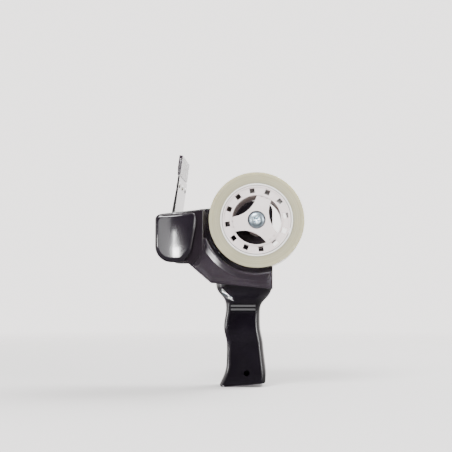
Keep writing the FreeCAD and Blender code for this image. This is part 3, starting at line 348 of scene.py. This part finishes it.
def finish_node(name, material, edge, corner=32):
    """Give a CAD node its material, and a bevel of edge mm where faces meet at more than corner degrees."""
    piece = NODES[name]
    piece.data.materials.clear()
    piece.data.materials.append(material)
    smooth(piece)
    if edge:
        # A CAD mesh is split along every face edge, so it is joined and its flat faces made whole first.
        weld = piece.modifiers.new("joined_faces", "WELD")
        weld.merge_threshold = 0.002 * MM
        flat = piece.modifiers.new("whole_faces", "DECIMATE")
        flat.decimate_type = "DISSOLVE"
        flat.angle_limit = math.radians(0.3)
        bevel = piece.modifiers.new("soft_edges", "BEVEL")
        bevel.width = edge * MM
        bevel.segments = 3
        bevel.limit_method = "ANGLE"
        bevel.angle_limit = math.radians(corner)
        bevel.use_clamp_overlap = True
        shading = piece.modifiers.new("flat_faces", "WEIGHTED_NORMAL")
        shading.mode = "FACE_AREA"
        shading.weight = 50


# Material, bevel in mm and, where it isn't the usual one, the angle of a corner in degrees.
FINISHES = {
    "side_frame": (FRAME_BLACK, 0.45, 20),
    "grip_shell_near": (BLACK, 0.35, 20),
    "grip_shell_far": (BLACK, 0.35, 20),
    "cheek_plate": (FRAME_BLACK, 0.3),
    "blade_base": (FRAME_BLACK, 0.4),
    "blade_guard": (SMOKE, 0.2),
    "blade_plate": (SHEET_STEEL, 0.08),
    "serrated_blade": (BLADE_STEEL, 0.05),
    "blade_rivets": (RIVET, 0.12),
    "guide_bar": (BAR_STEEL, 0.2),
    "roller_axle": (BAR_STEEL, 0.2),
    "roller_core": (NYLON, 0.25),
    "roller_sleeve": (RUBBER, 0.4),
    "roller_washers": (WHITE, 0.15),
    "hub_wheel": (WHITE, 0.16),
    "hub_washer": (ZINC, 0.1),
    "drag_spring": (BAR_STEEL, 0.0),
    "drag_washer": (FIBRE, 0.1),
    "tape_core": (CORE_WHITE, 0.12),
    "cheek_screws": (OXIDE, 0.12),
    "grip_screw": (OXIDE, 0.12),
}
for node_name, node_finish in FINISHES.items():
    finish_node(node_name, *node_finish)


# ---------------------------------------------------------------- pieces made here

def new_piece(name, points, faces, material, body, node):
    """A mesh object that rides on a body and stands for a CAD node."""
    mesh = bpy.data.meshes.new(name)
    mesh.from_pydata(points, [], faces)
    mesh.update()
    made = bpy.data.objects.new(name, mesh)
    bpy.context.scene.collection.objects.link(made)
    made.data.materials.append(material)
    smooth(made)
    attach(made, body)
    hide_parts(node)
    return made


def ring_faces(rings, around, closed=False):
    """Quads between rings of points that each hold the same number of points."""
    faces = []
    for ring in range(rings if closed else rings - 1):
        low = ring * around
        high = (ring + 1) % rings * around
        for step in range(around):
            following = (step + 1) % around
            faces.append((low + step, low + following, high + following, high + step))
    return faces


def face_outward(piece):
    """Turn every face of a closed mesh outwards."""
    work = bmesh.new()
    work.from_mesh(piece.data)
    bmesh.ops.recalc_face_normals(work, faces=work.faces)
    work.to_mesh(piece.data)
    work.free()


def rounded_outline(corners, steps):
    """One closed line with an arc at each corner, from the place and the radius of every corner."""
    line = []
    count = len(corners)
    for index, (across, up, radius) in enumerate(corners):
        point = Vector((across, up))
        before = (Vector(corners[index - 1][:2]) - point).normalized()
        after = (Vector(corners[(index + 1) % count][:2]) - point).normalized()
        half = before.angle(after) / 2
        start = point + before * (radius / math.tan(half))
        finish = point + after * (radius / math.tan(half))
        centre = point + (before + after).normalized() * (radius / math.sin(half))
        first = math.atan2(start.y - centre.y, start.x - centre.x)
        turn = math.atan2(finish.y - centre.y, finish.x - centre.x) - first
        turn = (turn + math.pi) % (2 * math.pi) - math.pi
        for step in range(steps + 1):
            angle = first + turn * step / steps
            line.append(centre + radius * Vector((math.cos(angle), math.sin(angle))))
    return line


def evenly(line, count):
    """The same closed line as evenly spaced points."""
    reach = [0.0]
    for index, point in enumerate(line):
        reach.append(reach[-1] + (line[(index + 1) % len(line)] - point).length)
    points = []
    index = 0
    for step in range(count):
        goal = reach[-1] * step / count
        while reach[index + 1] < goal:
            index += 1
        share = (goal - reach[index]) / (reach[index + 1] - reach[index])
        points.append(line[index].lerp(line[(index + 1) % len(line)], share))
    return points


def shield_outline(left, right, bottom, top, around):
    """The shield's outline as seen from the open side, as evenly spaced points."""
    # Place and radius of every corner, clockwise from the top left.
    corners = [
        (left, top - 0.8 * MM, 3.0 * MM),
        (left + 6 * MM, top - 0.75 * MM, 12 * MM),
        (right - 7 * MM, top, 14 * MM),
        (right, top, 2.6 * MM),
        (right, top - 6.9 * MM, 20 * MM),
        (right - 2.7 * MM, top - 21.4 * MM, 6.0 * MM),
        (right - 7.1 * MM, bottom, 5.5 * MM),
        (left, bottom, 9.0 * MM),
    ]
    corner_steps = 12
    return evenly(rounded_outline(corners, corner_steps), around)


def shield_levels(roll_share):
    """Scale of the outline and height of each ring, from the wall's foot over the rim to the centre."""
    wall, roll = 0.7 * MM, 1.2 * MM
    steps = 30
    crowding = 1.5  # above 1, the rings stand closer together at the rim
    levels = [(1.0, 0.0), (1.0, wall / 2), (1.0, wall)]
    for step in range(1, steps):
        share = (step / steps) ** crowding
        rolled = max(0.0, 1 - share / roll_share)
        levels.append((1 - share, wall + roll * math.sqrt(1 - rolled ** 2)))
    return levels


def shield_dome():
    """Polished dome over the head: a short wall, a rolled rim and a gentle crown."""
    low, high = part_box("head_shield")
    around = 160
    outline = shield_outline(low.x, high.x, low.z, high.z, around)
    off_middle = 1 * MM
    centre = Vector(((low.x + high.x) / 2 - off_middle, (high.z + low.z) / 2 + off_middle))
    roll_share = 0.15
    levels = shield_levels(roll_share)
    crown, crown_across, crown_up = 0.9 * MM, 14 * MM, 17 * MM
    points = []
    for scale, height in levels:
        rolled_in = min(1.0, (1 - scale) / roll_share)
        for spot in outline:
            away = (spot - centre) * scale
            swell = 1 - (away.x / crown_across) ** 2 - (away.y / crown_up) ** 2
            lift = height + crown * max(0.0, swell) * rolled_in
            points.append((centre.x + away.x, high.y - lift, centre.y + away.y))
    faces = ring_faces(len(levels), around)
    points.append((centre.x, low.y, centre.y))
    last = (len(levels) - 1) * around
    for step in range(around):
        faces.append((last + step, last + (step + 1) % around, len(points) - 1))
    faces.append(tuple(reversed(range(around))))
    dome = new_piece("shield_dome", points, faces, SHIELD, "frame", "head_shield")
    face_outward(dome)
    split = dome.modifiers.new("rim", "EDGE_SPLIT")
    split.split_angle = math.radians(60)


def roll_side(inner, outer, depth, inward, draw):
    """Radius, depth and phase of the rings across one side of the roll, each pushed in or out a little.

    The phase is that of a slight wave round the ring. A phase of 0 stands for no wave.
    """
    layers = 40
    inset = 0.03 * MM
    swing = 0.007 * MM
    drift_kept = 0.8
    rings = []
    drift = 0.0
    for layer in range(layers + 1):
        drift = drift_kept * drift + draw.uniform(-swing, swing)
        phase = draw.uniform(0, math.tau)
        radius = inner + (outer - inner) * layer / layers
        rings.append((radius, depth + inward * max(0.0, inset + drift), phase))
    return rings


def roll_profile(inner, outer, near, far, rim):
    """The roll's section as rings: the near side, the outer face between two soft rims, the far side."""
    draw = random.Random(7)
    rim_cut, rim_drop = 0.35 * rim, 0.3 * rim
    rim_inset = 0.02 * MM
    bands = 6
    near_side = roll_side(inner, outer, near, 1, draw)
    near_side[-1] = (outer - rim, near + rim_inset, 0)
    face = [(outer - rim_cut, near + rim_drop, 0), (outer, near + rim, 0)]
    face += [(outer, near + (far - near) * band / bands, 0) for band in range(1, bands)]
    face += [(outer, far - rim, 0), (outer - rim_cut, far - rim_drop, 0)]
    far_side = roll_side(inner, outer, far, -1, draw)
    far_side[-1] = (outer - rim, far - rim_inset, 0)
    return near_side + face + far_side[::-1]


def wound_roll():
    """The wound tape: both sides show the windings, and the tape's end is a step in the outer face."""
    low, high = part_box("tape_roll")
    outer = high.x
    inner = 19.9 * MM
    rim = 0.22 * MM
    end_step = 0.09 * MM
    wave_height = 0.012 * MM
    around = 224
    profile = roll_profile(inner, outer, low.y, high.y, rim)
    points = []
    for radius, depth, phase in profile:
        for step in range(around):
            angle = math.tau * step / around
            reach = radius
            if radius > outer - rim / 2:
                reach -= end_step * (1 - step / around)
            wave = wave_height * math.sin(2 * angle + phase) if phase else 0.0
            points.append((reach * math.cos(angle), depth + wave, reach * math.sin(angle)))
    faces = ring_faces(len(profile), around, closed=True)
    roll = new_piece("wound_roll", points, faces, TAPE, "roll", "tape_roll")
    face_outward(roll)


def lathe_points(profile, around):
    """Rings of points about the spindle axis, one for each radius and depth."""
    points = []
    for radius, depth in profile:
        for step in range(around):
            angle = math.tau * step / around
            points.append((radius * math.cos(angle), depth, radius * math.sin(angle)))
    return points


def recess_cutter(face):
    """Two crossed bars that taper as they go in, to cut a cross recess."""
    depth = 1.5 * MM
    # Share of the depth, half the length and half the width of a bar, the last two in mm.
    sections = ((-0.4, 2.45, 0.52), (0.0, 2.1, 0.46), (0.75, 1.05, 0.3), (1.0, 0.7, 0.26))
    work = bmesh.new()
    for crosswise in (False, True):
        rows = []
        for share, half_length, half_width in sections:
            level = face + depth * share
            ring = []
            for across, up in ((1, -1), (1, 1), (-1, 1), (-1, -1)):
                spot = Vector((across * half_length * MM, up * half_width * MM))
                if crosswise:
                    spot = Vector((-spot.y, spot.x))
                ring.append(work.verts.new((spot.x, level, spot.y)))
            rows.append(ring)
        for low_ring, high_ring in zip(rows, rows[1:]):
            for step in range(len(low_ring)):
                following = (step + 1) % len(low_ring)
                work.faces.new((low_ring[step], low_ring[following], high_ring[following], high_ring[step]))
        work.faces.new(rows[0][::-1])
        work.faces.new(rows[-1])
    bmesh.ops.recalc_face_normals(work, faces=work.faces)
    mesh = bpy.data.meshes.new("recess_cutter")
    work.to_mesh(mesh)
    work.free()
    return bpy.data.objects.new("recess_cutter", mesh)


def cut_away(piece, cutter):
    """Cut a cutter's shape out of a piece for good, and drop the cutter."""
    bpy.context.scene.collection.objects.link(cutter)
    cut = piece.modifiers.new("recess", "BOOLEAN")
    cut.operation = "DIFFERENCE"
    cut.solver = "EXACT"
    cut.use_self = True
    cut.object = cutter
    bpy.context.view_layer.update()
    evaluated = piece.evaluated_get(bpy.context.evaluated_depsgraph_get())
    cut_mesh = bpy.data.meshes.new_from_object(evaluated)
    piece.modifiers.clear()
    piece.data = cut_mesh
    bpy.data.objects.remove(cutter)
    smooth(piece)


def hub_screw():
    """Pan-head screw with a crowned head, a rolled rim and a cross recess."""
    low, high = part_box("hub_screw")
    face, point = low.y, high.y
    head, shank = 4.35 * MM, 1.75 * MM
    seat = face + 2.0 * MM
    around = 96
    recess_turn = math.radians(38)
    # Radius and depth, from the middle of the crown over the rim and the seat to the point.
    profile = [(0.3 * MM, face), (1.2 * MM, face + 0.02 * MM), (2.2 * MM, face + 0.1 * MM),
               (3.0 * MM, face + 0.26 * MM), (3.6 * MM, face + 0.52 * MM), (4.05 * MM, face + 0.9 * MM),
               (head - 0.06 * MM, face + 1.25 * MM), (head, face + 1.6 * MM), (head, seat - 0.12 * MM),
               (head - 0.12 * MM, seat), (shank + 0.2 * MM, seat), (shank, seat + 0.2 * MM),
               (shank, point - 1.2 * MM), (0.5 * MM, point)]
    faces = ring_faces(len(profile), around)
    faces.append(tuple(range(around)))
    faces.append(tuple(range((len(profile) - 1) * around, len(profile) * around)))
    screw = new_piece("hub_screw_head", lathe_points(profile, around), faces, SCREW_ZINC, "frame",
                      "hub_screw")
    face_outward(screw)
    cutter = recess_cutter(face)
    cutter.rotation_euler = (0, recess_turn, 0)
    cut_away(screw, cutter)
    edges = screw.modifiers.new("soft_edges", "BEVEL")
    edges.width = 0.05 * MM
    edges.segments = 2
    edges.limit_method = "ANGLE"
    edges.angle_limit = math.radians(35)
    edges.harden_normals = True


shield_dome()
wound_roll()
hub_screw()


# ---------------------------------------------------------------- stage, light and camera

def stage_material(name, colour, in_gloss, fade_start, fade_end):
    """Pale matt floor that fades out away from the object; reflections show a share of its colour."""
    material = bpy.data.materials.new(name)
    material.use_nodes = True
    tree = material.node_tree
    surface = tree.nodes["Principled BSDF"]
    shade = tree.nodes.new("ShaderNodeMix")
    shade.data_type = "RGBA"
    path = tree.nodes.new("ShaderNodeLightPath")
    shade.inputs["A"].default_value = (*colour, 1)
    shade.inputs["B"].default_value = (*[in_gloss * part for part in colour], 1)
    tree.links.new(path.outputs["Is Glossy Ray"], shade.inputs["Factor"])
    tree.links.new(shade.outputs["Result"], surface.inputs["Base Color"])
    surface.inputs["Roughness"].default_value = 0.7
    coordinates = tree.nodes.new("ShaderNodeTexCoord")
    distance = tree.nodes.new("ShaderNodeVectorMath")
    distance.operation = "LENGTH"
    fade = tree.nodes.new("ShaderNodeMapRange")
    fade.inputs["From Min"].default_value = fade_start
    fade.inputs["From Max"].default_value = fade_end
    clear = tree.nodes.new("ShaderNodeBsdfTransparent")
    mix = tree.nodes.new("ShaderNodeMixShader")
    tree.links.new(coordinates.outputs["Object"], distance.inputs[0])
    tree.links.new(distance.outputs["Value"], fade.inputs["Value"])
    tree.links.new(fade.outputs["Result"], mix.inputs["Fac"])
    tree.links.new(surface.outputs["BSDF"], mix.inputs[1])
    tree.links.new(clear.outputs["BSDF"], mix.inputs[2])
    tree.links.new(mix.outputs["Shader"], tree.nodes["Material Output"].inputs["Surface"])
    return material


def floor():
    """Round floor just below the grip."""
    gap = 0.1 * MM
    below_tool = (-0.015, -0.026, cad_low.z - gap)
    bpy.ops.mesh.primitive_circle_add(vertices=96, radius=4.0, fill_type="NGON", location=below_tool)
    made = bpy.context.object
    made.name = "floor"
    made.data.materials.append(stage_material("pale_floor", (0.80, 0.79, 0.785), in_gloss=0.08,
                                              fade_start=0.12, fade_end=0.75))


def area_light(name, place, target, size, power, only=(), clear=()):
    """A soft box that faces its target.

    only names the pieces that it lights, if not all. clear names those that cast no shadow in its light.
    """
    data = bpy.data.lights.new(name, "AREA")
    data.shape = "RECTANGLE"
    data.size, data.size_y = size
    data.energy = power
    made = bpy.data.objects.new(name, data)
    made.location = place
    made.rotation_euler = (Vector(target) - Vector(place)).to_track_quat("-Z", "Y").to_euler()
    bpy.context.scene.collection.objects.link(made)
    if only:
        lit = bpy.data.collections.new(name + "_lights")
        for piece in only:
            lit.objects.link(bpy.data.objects[piece])
        made.light_linking.receiver_collection = lit
    if clear:
        solid = bpy.data.collections.new(name + "_shadows")
        for piece in bpy.data.objects:
            if piece.type == "MESH" and piece.name not in clear:
                solid.objects.link(piece)
        made.light_linking.blocker_collection = solid
        data.cycles.use_multiple_importance_sampling = False


def world(colour, seen, ambient, gloss_behind, gloss_ahead):
    """Pale room: one strength for the eye, one for soft light, and a dark and a bright side in gloss."""
    made = bpy.data.worlds.new("pale_room")
    made.use_nodes = True
    tree = made.node_tree
    background = tree.nodes["Background"]
    background.inputs["Color"].default_value = (*colour, 1)
    coordinates = tree.nodes.new("ShaderNodeTexCoord")
    split = tree.nodes.new("ShaderNodeSeparateXYZ")
    gloss = tree.nodes.new("ShaderNodeMapRange")
    gloss.interpolation_type = "SMOOTHSTEP"
    gloss.inputs["From Min"].default_value = -0.8
    gloss.inputs["From Max"].default_value = 0.15
    gloss.inputs["To Min"].default_value = gloss_behind
    gloss.inputs["To Max"].default_value = gloss_ahead
    tree.links.new(coordinates.outputs["Generated"], split.inputs["Vector"])
    tree.links.new(split.outputs["Y"], gloss.inputs["Value"])
    path = tree.nodes.new("ShaderNodeLightPath")
    unseen = tree.nodes.new("ShaderNodeMix")
    unseen.inputs["A"].default_value = ambient
    tree.links.new(path.outputs["Is Glossy Ray"], unseen.inputs["Factor"])
    tree.links.new(gloss.outputs["Result"], unseen.inputs["B"])
    strength = tree.nodes.new("ShaderNodeMix")
    strength.inputs["B"].default_value = seen
    tree.links.new(path.outputs["Is Camera Ray"], strength.inputs["Factor"])
    tree.links.new(unseen.outputs["Result"], strength.inputs["A"])
    tree.links.new(strength.outputs["Result"], background.inputs["Strength"])
    bpy.context.scene.world = made


def camera(place, target, lens):
    """A camera that looks from a place at a target."""
    data = bpy.data.cameras.new("camera")
    data.lens = lens
    data.sensor_width = 36.0
    data.clip_start = 0.05
    data.clip_end = 50.0
    made = bpy.data.objects.new("camera", data)
    made.location = place
    made.rotation_euler = (Vector(target) - made.location).to_track_quat("-Z", "Y").to_euler()
    bpy.context.scene.collection.objects.link(made)
    bpy.context.scene.camera = made


floor()
# Before the open side, a little right of the spindle and below it.
camera(place=(0.010, -0.652, -0.0356), target=(-0.0167, -0.052, -0.0034), lens=87.7)
world((1.0, 0.962, 0.945), seen=2.7, ambient=0.8, gloss_behind=0.04, gloss_ahead=1.8)

MIDDLE = (-0.01, -0.03, 0.0)
SHIELD_SPOT = (-0.04, -0.055, -0.01)
CRADLE_SPOT = (-0.02, -0.05, -0.02)
DOME = ["shield_dome"]
SIDE = ["side_frame"]
GRIP = ["grip_shell_near", "grip_shell_far"]
ROLL = ["wound_roll"]
HUB = ROLL + ["hub_wheel", "tape_core", "hub_screw", "hub_screw_head"]
SCREW = ["hub_screw_head"]
FLOOR = ["floor"]

# Light on everything.
area_light("key", place=(-0.35, -0.75, 0.75), target=MIDDLE, size=(0.45, 0.45), power=18.0)
area_light("fill", place=(0.8, -0.6, 0.25), target=MIDDLE, size=(0.6, 0.6), power=4.0)
area_light("back_top", place=(0.45, 0.35, 0.6), target=MIDDLE, size=(0.5, 0.4), power=12.0)
area_light("low_left", place=(-0.55, -0.62, -0.03), target=(-0.02, -0.05, -0.03), size=(0.12, 0.11),
           power=2.5)
area_light("side_right", place=(0.75, -0.35, 0.05), target=MIDDLE, size=(0.05, 0.28), power=1.2)
# The upright streak on the shield, the haze beside it and the foot of the streak.
area_light("streak", place=(-0.105, -0.80, -0.03), target=SHIELD_SPOT, size=(0.02, 0.16), power=0.7,
           only=DOME)
area_light("haze", place=(-0.2, -0.78, 0.01), target=SHIELD_SPOT, size=(0.12, 0.3), power=0.5, only=DOME)
area_light("streak_foot", place=(-0.09, -0.80, -0.085), target=SHIELD_SPOT, size=(0.05, 0.07), power=1.3,
           only=DOME)
# From below, through the floor: the grip's collar and the slopes of the side frame.
area_light("under_collar", place=(-0.208, 0.043, -0.382), target=(-0.017, -0.042, -0.042), size=(0.3, 0.2),
           power=9.0, only=GRIP, clear=FLOOR)
area_light("under_slope", place=(-0.54, -0.52, -0.417), target=(-0.02, -0.05, -0.025), size=(0.1, 0.1),
           power=9.0, only=SIDE, clear=FLOOR)
# Past the roll, on the side frame: its rims and the gap round the roll.
area_light("over_rim", place=(0.48, -0.42, 0.40), target=CRADLE_SPOT, size=(0.22, 0.22), power=10.0,
           only=SIDE, clear=HUB)
area_light("into_gap", place=(0.03, -0.75, -0.03), target=CRADLE_SPOT, size=(0.3, 0.3), power=0.24,
           only=SIDE, clear=ROLL)
# The grip's left side and the ridges on its neck, the roll and the screw's head.
area_light("grip_edge", place=(-0.6, -0.04, -0.08), target=(-0.02, -0.04, -0.08), size=(0.06, 0.3),
           power=1.0, only=GRIP)
area_light("ridge_glint", place=(-0.008, -0.48, 0.19), target=(-0.008, -0.039, -0.048), size=(0.3, 0.14),
           power=0.55, only=GRIP)
area_light("roll_side", place=(0.16, -0.22, 0.03), target=(0.0, -0.05, 0.0), size=(0.1, 0.1), power=0.25,
           only=ROLL)
area_light("screw_glint", place=(0.03, -0.75, 0.03), target=(0, -0.052, 0), size=(0.08, 0.08), power=1.0,
           only=SCREW)
